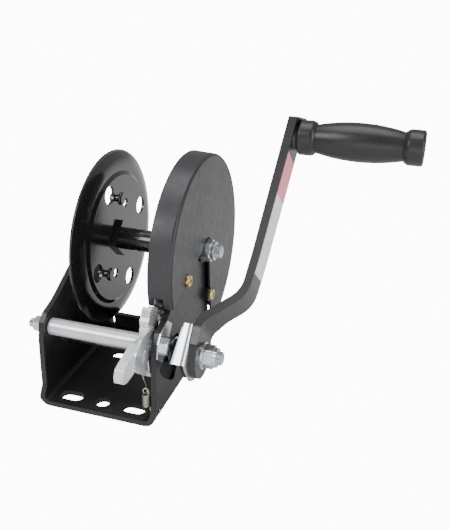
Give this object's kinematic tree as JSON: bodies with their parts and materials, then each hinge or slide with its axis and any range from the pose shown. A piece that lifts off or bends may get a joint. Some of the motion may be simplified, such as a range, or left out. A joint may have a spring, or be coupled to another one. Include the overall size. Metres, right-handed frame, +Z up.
{
  "type": "boat trailer winch",
  "caption": "Hand winch with a geared drum in a U-shaped bracket, a round gear cover, a cranked arm with a turning grip and a spring-loaded pawl.",
  "frame": {"origin": "centre of the row of mounting holes near the front edge, on the underside of the base", "axes": "+X across the frame towards the crank, +Y from the front edge of the base to its rear, +Z up"},
  "size_m": [0.3119, 0.2442, 0.2517],
  "materials": {
    "frame_paint": "gloss black paint",
    "flange_paint": "gloss black paint",
    "cover_paint": "satin dark grey paint",
    "arm_paint": "satin black paint",
    "zinc": "bright zinc plate",
    "yellow_zinc": "yellow zinc plate",
    "steel": "machined steel",
    "gear_steel": "hardened steel, oiled",
    "spring_steel": "oiled spring wire",
    "bronze": "sintered bronze",
    "nylon": "nylon",
    "rubber": "matte",
    "grip": "satin moulded",
    "red_tape": "reflective",
    "white_tape": "reflective"
  },
  "bodies": {
    "frame": {"frame_bracket": "frame_paint", "gear_cover": "cover_paint", "cover_screws": "yellow_zinc", "cover_spacers": "rubber", "cover_nuts": "zinc", "drum_bolt": "zinc", "drum_lock_nut": "zinc", "drum_nut_insert": "nylon", "drum_washers": "zinc", "drum_spacers": "steel", "tie_tube": "zinc", "tie_bolt": "zinc", "tie_nut": "zinc", "tie_washer": "zinc", "tie_doubler_plate": "zinc", "bearing_carrier": "frame_paint", "shaft_bush_left": "bronze", "shaft_bush_right": "bronze", "pawl_spacer": "zinc"},
    "drum": {"drum_tube": "flange_paint", "drum_flange_left": "flange_paint", "drum_flange_right": "flange_paint", "flange_collar": "flange_paint", "rope_lugs": "flange_paint", "drum_gear": "gear_steel", "gear_rivets": "steel", "drum_bushes": "bronze"},
    "crank": {"crank_shaft": "steel", "pinion_gear": "gear_steel", "shaft_retaining_ring": "spring_steel", "shaft_washers": "zinc", "shaft_sleeve": "frame_paint", "friction_disc": "rubber", "hub_guard": "zinc", "crank_arm": "arm_paint", "crank_washer": "zinc", "crank_nut": "zinc", "crank_nut_insert": "nylon", "grip_pin": "zinc", "grip_washer": "zinc", "grip_push_nut": "zinc", "tape_red": "red_tape", "tape_white": "white_tape"},
    "handle": {"handle_grip": "grip"},
    "pawl": {"pawl": "zinc", "pawl_thumb_lever": "zinc", "pawl_spring_plate": "zinc", "pawl_bush": "bronze", "pawl_spring": "spring_steel"}
  },
  "joints": [
    {"name": "drum_spin", "type": "hinge", "parent": "frame", "child": "drum", "pos_m": [0, 0.108, 0.114], "axis": [1, 0, 0], "continuous": true},
    {"name": "crank_spin", "type": "hinge", "parent": "frame", "child": "crank", "pos_m": [0, 0.0315, 0.05116], "axis": [1, 0, 0], "continuous": true},
    {"name": "grip_spin", "type": "hinge", "parent": "crank", "child": "handle", "pos_m": [0.195, 0.08734, 0.23381], "axis": [1, 0, 0], "continuous": true},
    {"name": "pawl_pivot", "type": "hinge", "parent": "frame", "child": "pawl", "pos_m": [0.041, 0.0091, 0.068], "axis": [1, 0, 0], "range_deg": [-10, 15], "deforming": ["pawl_spring"]}
  ],
  "couplings": [
    {"joint": "crank_spin", "follows": "drum_spin", "ratio": -5}
  ]
}
